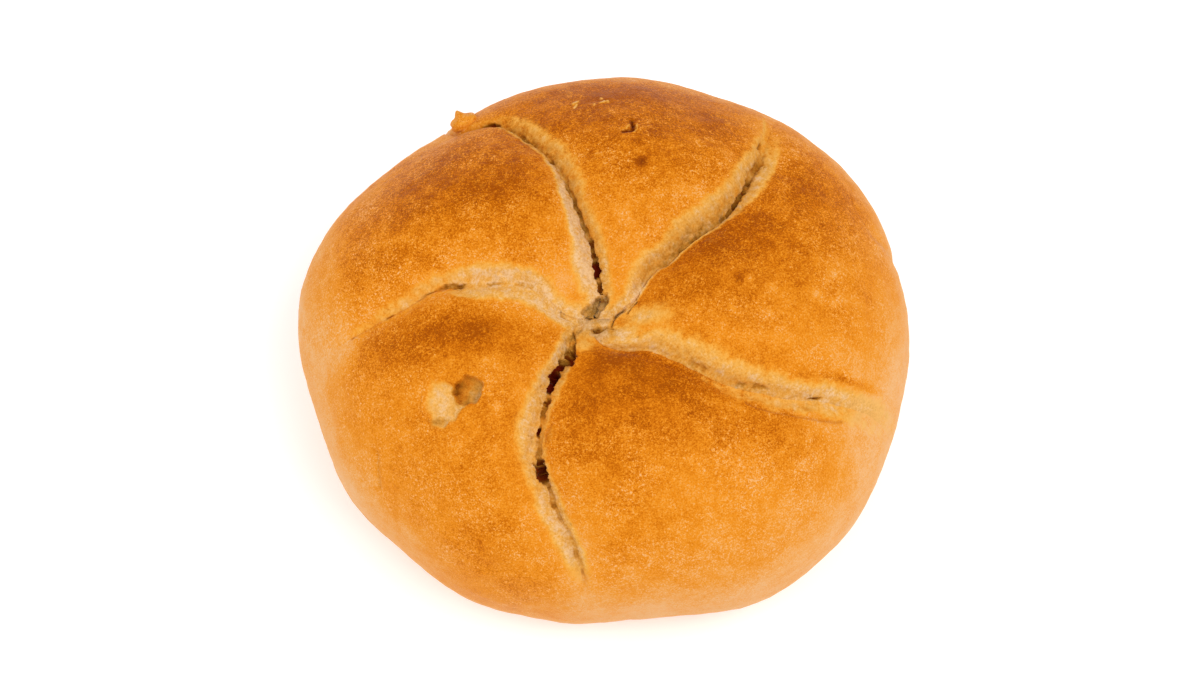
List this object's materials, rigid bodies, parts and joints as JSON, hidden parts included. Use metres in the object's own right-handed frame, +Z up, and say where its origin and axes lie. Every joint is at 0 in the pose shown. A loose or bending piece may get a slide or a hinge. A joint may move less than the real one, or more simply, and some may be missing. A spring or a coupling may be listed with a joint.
{
  "type": "bread roll",
  "caption": "Round baked bread roll with a domed crust parted into petals by curved grooves that wind out of a central dimple, on a flat underside.",
  "frame": {"origin": "centre of the roll's box at its bottom, on the flat underside", "axes": "+Z up through the swirl, +X to the viewer's right along the roll's longest side, -Y towards the viewer"},
  "size_m": [0.1066, 0.0976, 0.049],
  "materials": {
    "crust": "golden baked crust, satin, with pale crumb in the grooves"
  },
  "bodies": {
    "root": {"roll": "crust"}
  },
  "joints": []
}
